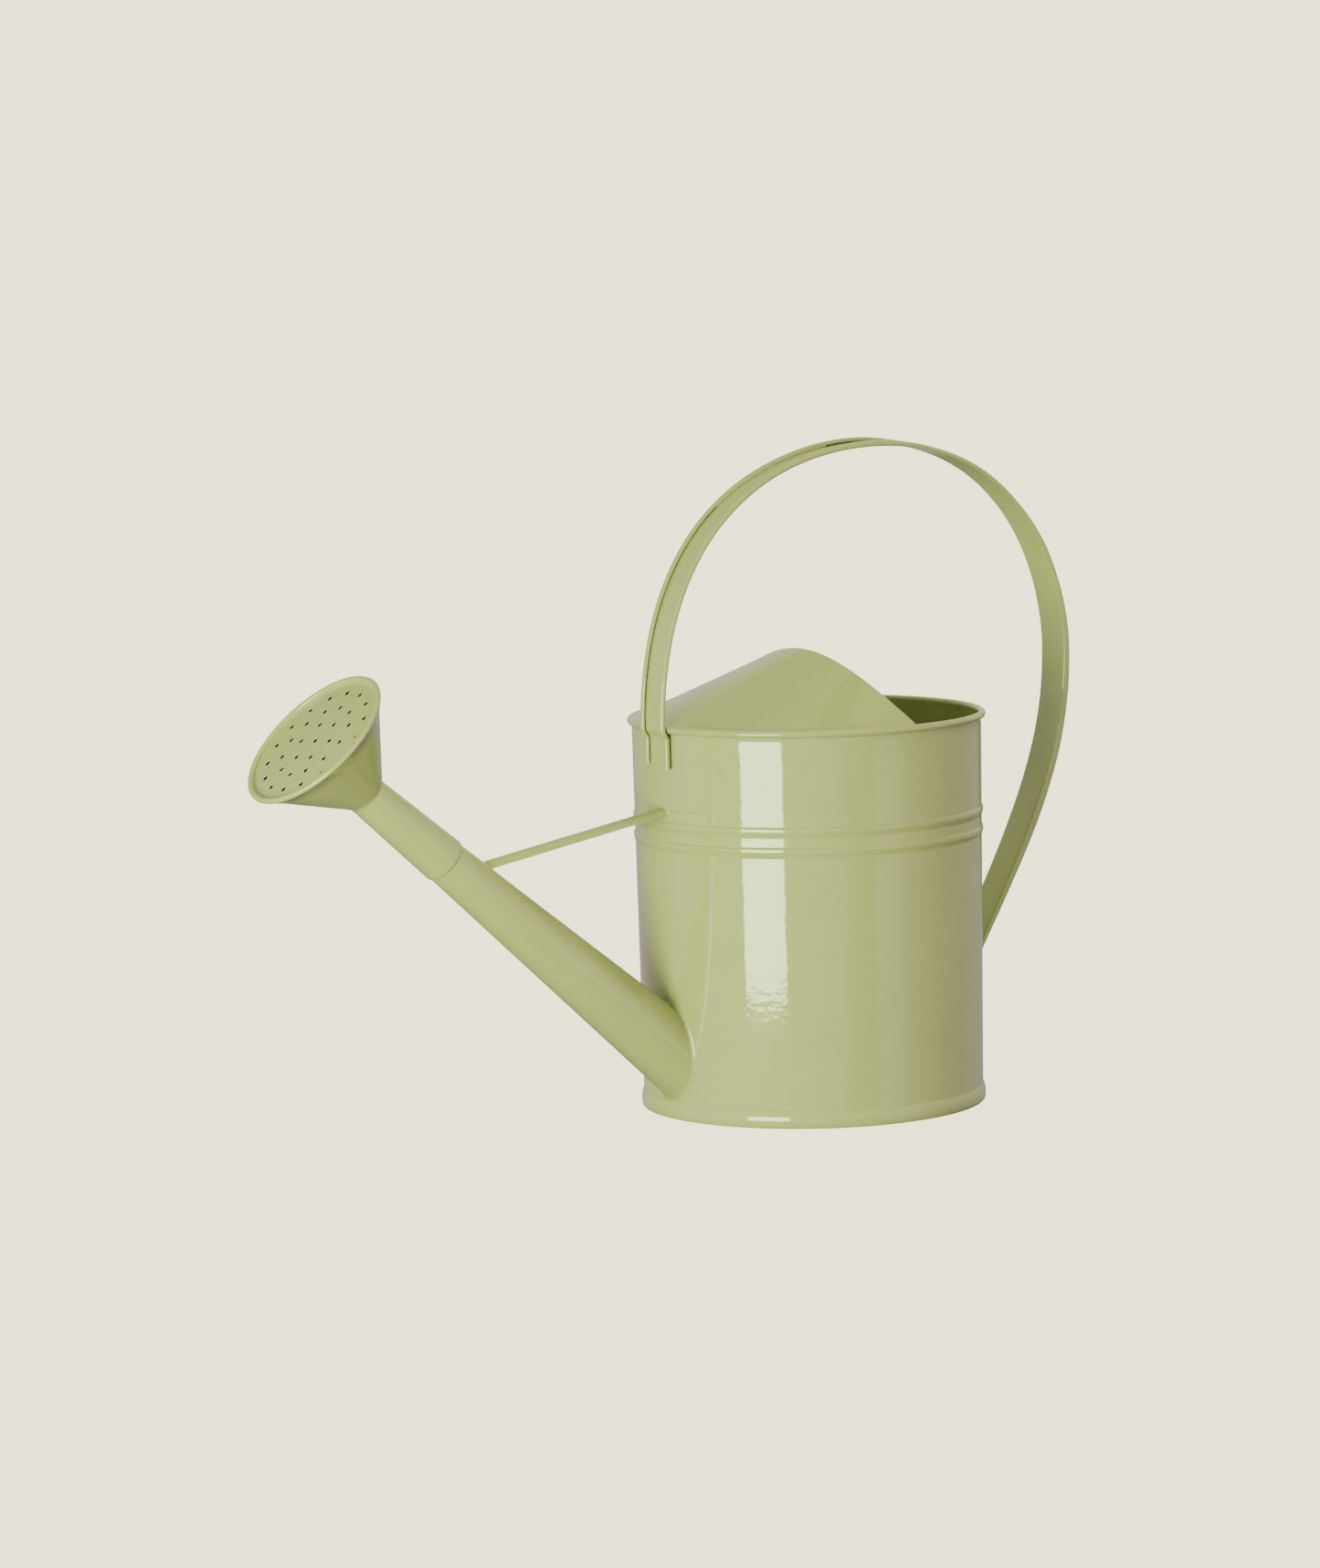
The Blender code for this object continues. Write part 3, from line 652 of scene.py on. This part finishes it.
def make_spout():
    """The tapered tube from inside the wall to its stepped tip, which the sleeve hides."""
    steps = 144
    tip = [(STEP + 0.5, 10.9), (STEP + 1.1, 9.9), (STEP + 1.8, TIP_R)]
    tip += [(TIP - 0.3, TIP_R), (TIP, TIP_R - 0.25)]
    lines = []
    for k in range(steps):
        a = 2 * math.pi * k / steps
        low = solve(lambda s: math.hypot(*on_spout(s, a)[:2]) > 89.3, -40.0, 60.0)
        tube = [low + (STEP - low) * t for t in np.linspace(0, 1, 60)]
        outside = [on_spout(s, a, 0.03 * grain(on_spout(s, a), 24, 2.0)) for s in tube]
        inside = [on_spout(s, a, -SHEET) for s in tube]
        outward = SIDE * math.cos(a) + SPOUT_UP * math.sin(a)
        for s, r in tip:
            sheet = SHEET * (0.6 if s == TIP else 1)
            outside.append(SPOUT_ROOT + SPOUT_AXIS * s + outward * r)
            inside.append(SPOUT_ROOT + SPOUT_AXIS * (s - 0.2) + outward * (r - sheet))
        lines.append(outside + inside[::-1])
    lines = np.array(lines)
    spout = make_mesh("spout", lines.reshape(-1, 3), grid_faces(*lines.shape[:2], True, True), 50)
    finish_piece(spout, "can", ENAMEL, "spout_tube")


def foot_of(angle, out):
    """How far along the spout a line this far off its surface meets the wall."""
    return solve(lambda s: wall_distance(on_spout(s, angle, out)) > 0, -60.0, 70.0, 24)


def make_spout_fillet():
    """The solder fillet round the spout's root."""
    points = []
    count = 180
    for k in range(count):
        a = 2 * math.pi * k / count
        root = solve(lambda s: wall_distance(on_spout(s, a)) > 0, -45.0, 60.0)
        corner = on_spout(root, a, -0.15)
        size = 1.9 + 0.4 * grain(corner, 9, 3.0)
        on_tube = on_spout(solve(lambda s: wall_distance(on_spout(s, a)) > size, -45.0, 60.0), a, -0.05)
        foot = on_spout(foot_of(a, size), a, size)
        angle = math.atan2(foot[1], foot[0])
        on_body = on_wall(angle, foot[2], -0.05)
        middle = (on_body + on_tube) / 2
        points += bend_curve(on_body, middle + (corner - middle) * 0.72, on_tube, 9)
        points.append(on_spout(root - 0.2, a, 0.05) - 0.25 * np.array((math.cos(angle), math.sin(angle), 0)))
    fillet = make_mesh("spout_fillet", points, grid_faces(count, 10, True, True), 60)
    finish_piece(fillet, "can", ENAMEL, "spout_solder")


def brace_section():
    """The brace's closed section: its arched outer face from side to side, then its inner face back."""
    turns = np.linspace(math.pi, 0, 25)
    outer = [(BRACE_HALF * math.cos(a), BRACE_CROWN * math.sin(a)) for a in turns]
    inner = [((BRACE_HALF - SHEET) * math.cos(a), (BRACE_CROWN - SHEET) * math.sin(a)) for a in turns[::-1]]
    return outer + inner


def make_brace():
    """The strip from the spout to the wall. Each line along it ends where it meets them."""
    rows = []
    for x, z in brace_section():
        base = BRACE_START + SIDE * x + BRACE_UP * z
        low = solve(lambda t: spout_distance(base + BRACE_ALONG * t) > 0.15, -12.0, 20.0)
        high = solve(lambda t: wall_distance(base + BRACE_ALONG * t) < 0.15, 80.0, 130.0)
        rows.append([base + BRACE_ALONG * (low + (high - low) * t) for t in np.linspace(0, 1, 60)])
    rows = np.array(rows)
    n, m = rows.shape[:2]
    faces = grid_faces(n, m, True, False)
    for k in range(n // 2 - 1):
        a, b, c, d = k, k + 1, n - 2 - k, n - 1 - k
        faces.append((a * m, b * m, c * m, d * m))
        faces.append((d * m + m - 1, c * m + m - 1, b * m + m - 1, a * m + m - 1))
    brace = make_mesh("brace_strip", rows.reshape(-1, 3), faces, 40)
    finish_piece(brace, "can", ENAMEL, "brace")


def make_brace_fillet(name, node, distance, towards, start, size):
    """Solder over the brace's crown where it meets the wall or the spout."""
    points = []
    count = 48
    for k, a in enumerate(np.linspace(math.pi + 0.12, -0.12, count)):
        across = SIDE * math.cos(a) * BRACE_HALF + BRACE_UP * math.sin(a) * BRACE_CROWN
        outward = across / np.linalg.norm(across)
        fade = 0.35 + 0.65 * ease(6 * min(k, count - 1 - k) / count)
        reach = size * fade * (1 + 0.25 * grain(across, 4, 6.0))

        def meet(out, gap):
            base = start + across + outward * out
            return base + towards * solve(lambda t: distance(base + towards * t) < gap, -20.0, 40.0)

        on_strip = meet(-0.04, reach)
        on_other = meet(reach, -0.04)
        corner = meet(-0.04, 0.0)
        middle = (on_strip + on_other) / 2
        points += bend_curve(on_strip, middle + (corner - middle) * 0.6, on_other, 7)
        points.append(corner - outward * 0.15)
    faces = grid_faces(count, 8, False, True)
    faces.append(tuple(range(7, -1, -1)))
    faces.append(tuple((count - 1) * 8 + k for k in range(8)))
    fillet = make_mesh(name, points, faces, 60)
    finish_piece(fillet, "can", ENAMEL, node)


# ---------------------------------------------------------------- rose

def make_sleeve():
    """The push-on sleeve, with its open end turned in a little."""
    lengths = [COLLAR + 0.35, *np.linspace(COLLAR + 2, SLEEVE_END, 24)]
    side = [(sleeve_radius(s), s) for s in lengths]
    outline = [(SLEEVE_R[0] - 0.2, COLLAR), (sleeve_radius(COLLAR + 0.12) - 0.06, COLLAR + 0.12)] + side
    outline += [(r - SHEET, s) for r, s in side[::-1]]
    outline += [(SLEEVE_R[0] - SHEET + 0.03, COLLAR + 0.12), (SLEEVE_R[0] - 0.42, COLLAR)]
    sleeve = turned("sleeve", outline, axis_frame(SPOUT_ROOT, SPOUT_AXIS), 128, 0.03, 60)
    finish_piece(sleeve, "rose", ENAMEL_ROSE, "rose_sleeve")


def make_cone():
    """The cone, whose wide end is hemmed round the plate's edge."""
    hem = (1.6, 1.4)
    start = np.array((11.6, 3.2))
    flare = np.array((36.2, 36.6))
    path = [start + (flare - start) * t for t in np.linspace(0, 1, 22)]
    for x, z in arc((0, 0), 1.0, -62, 205, 26):
        out, along = x * (hem[0] - SHEET / 2), z * (hem[1] - SHEET / 2)
        path.append((ROSE_R - hem[0] + out, ROSE_LENGTH - hem[1] + along))
    outer, inner = offset_strip(path, SHEET)
    cone = turned("spreader_cone", [*outer, *inner[::-1]], axis_frame(ROSE_ORIGIN, ROSE_AXIS), 240, 0.06, 50)
    finish_piece(cone, "rose", ENAMEL_ROSE, "rose_cone")


def make_neck_fillet():
    """Solder in the corner between the sleeve and the cone."""
    origin, axis, side, up = axis_frame(ROSE_ORIGIN, ROSE_AXIS)
    points = []
    count = 128
    for k in range(count):
        a = 2 * math.pi * k / count
        outward = side * math.cos(a) + up * math.sin(a)
        width = 1.0 + 0.25 * grain(outward * 11, 5, 8.0)
        on_cone = origin + axis * (3.2 + width * 0.8) + outward * (11.85 + width * 0.6)
        spout_out = SIDE * math.cos(a) + SPOUT_UP * math.sin(a)
        s = NECK + 2.0 - width
        on_tube = SPOUT_ROOT + SPOUT_AXIS * s + spout_out * (sleeve_radius(s) - 0.04)
        corner = origin + axis * 3.0 + outward * 11.0
        middle = (on_cone + on_tube) / 2
        points += bend_curve(on_tube, middle + (corner - middle) * 0.6, on_cone, 7)
        points.append(origin + axis * 3.4 + outward * 11.0)
    fillet = make_mesh("neck_fillet", points, grid_faces(count, 8, True, True), 60)
    finish_piece(fillet, "rose", ENAMEL_ROSE, "rose_neck_solder")


def open_holes():
    """Each open hole's place on the plate and its bore."""
    holes = []
    for count, ring, first in HOLE_RINGS:
        for k in range(count):
            a = math.radians(first + 360 * k / count)
            bore = CLOGGED.get((count, k), HOLE_R)
            if bore:
                holes.append((ring * math.cos(a), ring * math.sin(a), bore))
    return holes


def plate_sheet(holes):
    """The flat plate's points and triangles. Its edge's points come first, then a circle round each hole."""
    loops = [circle(0, 0, PLATE_R, PLATE_STEPS)] + [circle(x, y, PUNCHED_R, HOLE_STEPS) for x, y, _ in holes]
    spots = []
    edges = []
    for loop in loops:
        start = len(spots)
        spots += loop
        edges += [(start + k, start + (k + 1) % len(loop)) for k in range(len(loop))]
    for i in range(-16, 17):
        for j in range(-18, 19):
            x, y = (i + 0.5 * (j % 2)) * 2.6, j * 2.25
            clear = all(math.hypot(x - hx, y - hy) > PUNCHED_R + 0.7 for hx, hy, _ in holes)
            if clear and math.hypot(x, y) < PLATE_R - 1.2:
                spots.append((x, y))
    spots, _, triangles, *_ = delaunay_2d_cdt([Vector(p) for p in spots], edges, [], 0, 1e-5)

    def inside(tri, x, y):
        return all(math.hypot(spots[i][0] - x, spots[i][1] - y) < PUNCHED_R + 0.05 for i in tri)

    kept = [tuple(tri) for tri in triangles if not any(inside(tri, x, y) for x, y, _ in holes)]
    return [tuple(p) for p in spots], kept


def make_face():
    """The perforated plate: punched holes with raised soft rims, and an edge that turns up into the hem."""
    holes = open_holes()
    spots, triangles = plate_sheet(holes)
    origin, axis, side, up = axis_frame(ROSE_ORIGIN, ROSE_AXIS)
    top = ROSE_LENGTH - 2.7

    def place(x, y, depth):
        uneven = 0.3 * (1 - (math.hypot(x, y) / PLATE_R) ** 2) + 0.07 * grain((x, y, 0), 9, 3.0)
        return origin + axis * (top + uneven - depth) + side * x + up * y

    points = [place(x, y, depth) for depth in (0.0, PLATE) for x, y in spots]
    back = len(spots)
    faces = triangles + [tuple(back + i for i in tri[::-1]) for tri in triangles]

    def add_ring(ring):
        points.extend(ring)
        return range(len(points) - len(ring), len(points))

    turned_up = [(r, -h) for r, h in arc((PLATE_R, 2.2), 2.2, -90, -4, 9)[1:]] + [(41.1, -2.5), (41.3, -2.6)]
    flange = turned_up + [(41.3, -2.2), (41.25, -1.6), (40.9, -0.6), (40.2, 0.3), (39.4, 0.6)]
    last = range(PLATE_STEPS)
    for radius, depth in flange:
        ring = circle(0, 0, radius, PLATE_STEPS)
        ring = add_ring([origin + axis * (top - depth) + side * x + up * y for x, y in ring])
        faces += ring_faces(ring, last)
        last = ring
    faces += ring_faces(range(back, back + PLATE_STEPS), last)
    for h, (cx, cy, bore) in enumerate(holes):
        start = PLATE_STEPS + h * HOLE_STEPS
        last = range(start, start + HOLE_STEPS)
        lip = ((bore + 0.5, -0.06), (bore + 0.24, -0.12), (bore + 0.08, -0.1), (bore, -0.02))
        flare = ((bore + 0.16, 0.07), (bore + 0.8, PLATE - 0.03))
        for radius, depth in lip + flare:
            ring = add_ring([place(x, y, depth) for x, y in circle(cx, cy, radius, HOLE_STEPS)])
            faces += ring_faces(last, ring)
            last = ring
        faces += ring_faces(last, range(back + start, back + start + HOLE_STEPS))
    face = make_mesh("rose_plate", points, faces, 50)
    finish_piece(face, "rose", ENAMEL_ROSE, "rose_face")


# ---------------------------------------------------------------- studio

FLOOR = (3.05, 2.82, 1.82)

# The studio round the can: directions in degrees, 0 towards the front and 90 towards +X, with its light there
AROUND = ((-180, 0.7, 0.6, 0.62), (-165, 0.6, 0.52, 0.5), (-150, 0.3, 0.3, 0.3), (-135, 1.1, 1.1, 1.1),
          (-12, 1.1, 1.1, 1.05), (-6, 0.45, 0.5, 0.5), (9, 0.4, 0.42, 0.45), (11, 1.9, 1.4, 1.6),
          (27, 1.7, 1.3, 1.4), (32, 1.0, 0.9, 0.9), (95, 0.8, 0.75, 0.7), (125, 0.4, 0.4, 0.4),
          (180, 0.7, 0.6, 0.62))
BRIGHTEST = 4  # a colour ramp holds no more than 1, so it holds the light divided by this

# Its light below, above the panels and overhead, on the camera's side and behind the can
TOWARDS_CAMERA = (-0.545, -0.839)
BELOW = (0.15, 0.12, 0.16)
BELOW_BACK = (0.2, 0.18, 0.17)
IN_FRONT = (1.3, 1.3, 1.25)
BEHIND = (0.8, 0.8, 0.7)
TOP_FRONT = (0.25, 0.25, 0.25)
TOP_BACK = (0.55, 0.6, 0.35)

# A fill's azimuth and elevation are in degrees, its distance in metres and its power in watts
SOFTBOX_AZIMUTH = -64
SOFTBOX_AWAY = 1.25
SOFTBOX_Z = 0.095
KEY_COLOUR = (0.88, 1.0, 0.62)
KEY_POWER = 28.5
FILL_COLOUR = (0.95, 1.0, 0.72)
FILLS = (("right", 45, 60, 1.5, 10), ("back", 165, 15, 1.6, 26), ("ceiling", 110, 60, 1.6, 20))

# The photograph's camera, solved from the can's ellipses: its place in millimetres from the middle of the
# body's foot, and its azimuth, elevation and roll in degrees
CAMERA_PLACE = (-1720.686, -2501.977, 524.463)
CAMERA_TURN = (-33.026, 6.6036, -1.3565)
LENS = 130.958


def direction(azimuth, elevation):
    """Towards this azimuth, 0 at the front and 90 at +X, and elevation in degrees."""
    around, up = math.radians(azimuth), math.radians(elevation)
    return Vector((math.sin(around) * math.cos(up), -math.cos(around) * math.cos(up), math.sin(up)))


def make_floor():
    """A plain pale bowl, a floor that runs up into a wall. Reflections see past it to the studio."""
    centre = 0.0005
    columns = 96
    profile = [(centre, 0.0), (2.0, 0.0), (6.0, 0.0)]
    profile += [(6.0 + 1.5 * math.sin(a), 1.5 - 1.5 * math.cos(a)) for a in np.linspace(0.1, math.pi / 2, 14)]
    profile += [(7.5, 6.0), (6.5, 9.0), (centre, 10.0)]
    points = [(x, y, z) for r, z in profile for x, y in circle(0, 0, r, columns)]
    mesh = bpy.data.meshes.new("sweep")
    mesh.from_pydata(points, [], grid_faces(len(profile), columns, False, True))
    mesh.shade_smooth()
    sweep = bpy.data.objects.new("sweep", mesh)
    bpy.context.scene.collection.objects.link(sweep)
    material = bpy.data.materials.new("sweep")
    material.use_nodes = True
    shader = material.node_tree.nodes["Principled BSDF"]
    shader.inputs["Base Color"].default_value = (0, 0, 0, 1)
    shader.inputs["Roughness"].default_value = 1.0
    shader.inputs["Specular IOR Level"].default_value = 0.0
    shader.inputs["Emission Color"].default_value = (*FLOOR, 1)
    shader.inputs["Emission Strength"].default_value = 1.0
    mesh.materials.append(material)
    sweep.visible_glossy = False
    sweep.visible_diffuse = False
    sweep.visible_shadow = False


def add_area(name, place, aim, width, height, power, colour):
    """An area light at this place that faces the aim."""
    light = bpy.data.lights.new(name, "AREA")
    light.shape = "RECTANGLE"
    light.size = width
    light.size_y = height
    light.energy = power
    light.color = colour
    obj = bpy.data.objects.new(name, light)
    obj.location = place
    obj.rotation_euler = (Vector(aim) - Vector(place)).to_track_quat("-Z", "Y").to_euler()
    bpy.context.scene.collection.objects.link(obj)
    return obj


def ramp_node(nodes, stops):
    """A colour ramp through these stops of place and colour."""
    ramp = nodes.new("ShaderNodeValToRGB")
    elements = ramp.color_ramp.elements
    for place, colour in stops[1:-1]:
        elements.new(place).color = colour
    elements[0].position, elements[0].color = stops[0]
    elements[len(stops) - 1].position, elements[len(stops) - 1].color = stops[-1]
    return ramp


def math_node(tree, operation, first, second):
    """The output of a math node on two values, each a number or another node's output."""
    node = tree.nodes.new("ShaderNodeMath")
    node.operation = operation
    for socket, value in zip(node.inputs, (first, second)):
        if isinstance(value, (int, float)):
            socket.default_value = value
        else:
            tree.links.new(value, socket)
    return node.outputs[0]


def make_world():
    """The studio's light by direction: panels round the can and a ceiling over them that is dim in front."""
    world = bpy.data.worlds.new("studio")
    bpy.context.scene.world = world
    world.use_nodes = True
    tree = world.node_tree
    place = tree.nodes.new("ShaderNodeTexCoord")
    split = tree.nodes.new("ShaderNodeSeparateXYZ")
    tree.links.new(place.outputs["Generated"], split.inputs[0])
    x, y, z = split.outputs

    def ramp(value, stops):
        node = ramp_node(tree.nodes, stops)
        tree.links.new(value, node.inputs["Fac"])
        return node.outputs["Color"]

    def mix(share, first, second):
        node = tree.nodes.new("ShaderNodeMix")
        node.data_type = "RGBA"
        tree.links.new(share, node.inputs["Factor"])
        for name, value in (("A", first), ("B", second)):
            if isinstance(value, tuple):
                node.inputs[name].default_value = (*value, 1)
            else:
                tree.links.new(value, node.inputs[name])
        return node.outputs["Result"]

    def level(value, low, high):
        """0 below low and 1 above high."""
        node = tree.nodes.new("ShaderNodeMapRange")
        node.interpolation_type = "SMOOTHSTEP"
        node.inputs["From Min"].default_value = low
        node.inputs["From Max"].default_value = high
        tree.links.new(value, node.inputs["Value"])
        return node.outputs["Result"]

    turn = math_node(tree, "ARCTAN2", x, math_node(tree, "MULTIPLY", y, -1))
    share = math_node(tree, "ADD", math_node(tree, "MULTIPLY", turn, 0.5 / math.pi), 0.5)
    stops = [(a / 360 + 0.5, (*[light / BRIGHTEST for light in colour], 1)) for a, *colour in AROUND]
    around = ramp(share, stops)
    scale = tree.nodes.new("ShaderNodeVectorMath")
    scale.operation = "SCALE"
    scale.inputs["Scale"].default_value = BRIGHTEST
    tree.links.new(around, scale.inputs[0])
    forward_x = math_node(tree, "MULTIPLY", x, TOWARDS_CAMERA[0])
    forward_y = math_node(tree, "MULTIPLY", y, TOWARDS_CAMERA[1])
    forward = math_node(tree, "ADD", forward_x, forward_y)
    top = mix(level(forward, -0.45, 0.35), TOP_BACK, TOP_FRONT)
    high = mix(level(forward, -0.8, 0.3), BEHIND, IN_FRONT)
    low = mix(level(z, -0.02, 0.04), scale.outputs["Vector"], high)
    upper = mix(level(z, 0.35, 0.55), low, top)
    below = mix(level(forward, -0.5, 0.1), BELOW_BACK, BELOW)
    whole = mix(level(z, -0.34, -0.16), below, upper)
    tree.links.new(whole, tree.nodes["Background"].inputs["Color"])
    tree.nodes["Background"].inputs["Strength"].default_value = 1.0


def make_lights():
    """A softbox that the enamel mirrors, and fills that only light it."""
    aim = Vector((BODY_X * MM, 0, SOFTBOX_Z))
    place = aim + direction(SOFTBOX_AZIMUTH, 0) * SOFTBOX_AWAY
    add_area("softbox", place, aim, 0.605, 0.47, KEY_POWER, KEY_COLOUR)
    centre = Vector((BODY_X * MM, 0, 0.12))
    for name, azimuth, elevation, distance, power in FILLS:
        place = centre + direction(azimuth, elevation) * distance
        fill = add_area(name, place, centre, 0.6, 0.5, power, FILL_COLOUR)
        fill.visible_glossy = False


def make_camera():
    camera = bpy.data.cameras.new("camera")
    camera.lens = LENS
    camera.sensor_width = 36
    camera.clip_end = 60
    obj = bpy.data.objects.new("camera", camera)
    azimuth, elevation, roll = CAMERA_TURN
    back = direction(azimuth, elevation)
    right = direction(azimuth + 90, 0)
    up = back.cross(right)
    tilt = math.radians(roll)
    across = right * math.cos(tilt) + up * math.sin(tilt)
    upright = up * math.cos(tilt) - right * math.sin(tilt)
    turn = Matrix((across, upright, back)).transposed().to_4x4()
    obj.matrix_world = Matrix.Translation((Vector(CAMERA_PLACE) + Vector((BODY_X, 0, 0))) * MM) @ turn
    bpy.context.scene.collection.objects.link(obj)
    bpy.context.scene.camera = obj


def main():
    make_camera()
    make_floor()
    make_world()
    make_lights()
    make_wall()
    make_base()
    make_hood()
    make_hood_seam()
    make_handle()
    make_spout()
    make_spout_fillet()
    make_brace()
    make_brace_fillet("brace_wall_fillet", "brace_wall_solder", wall_distance, BRACE_ALONG, BRACE_END, 1.3)
    make_brace_fillet(
        "brace_spout_fillet", "brace_spout_solder", spout_distance, -BRACE_ALONG, BRACE_START, 1.0
    )
    make_sleeve()
    make_cone()
    make_neck_fillet()
    make_face()
    for node, material in (("rim_wire", STEEL), ("rose_seal", RUBBER)):
        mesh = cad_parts[node].data
        mesh.materials.clear()
        mesh.materials.append(material)


main()
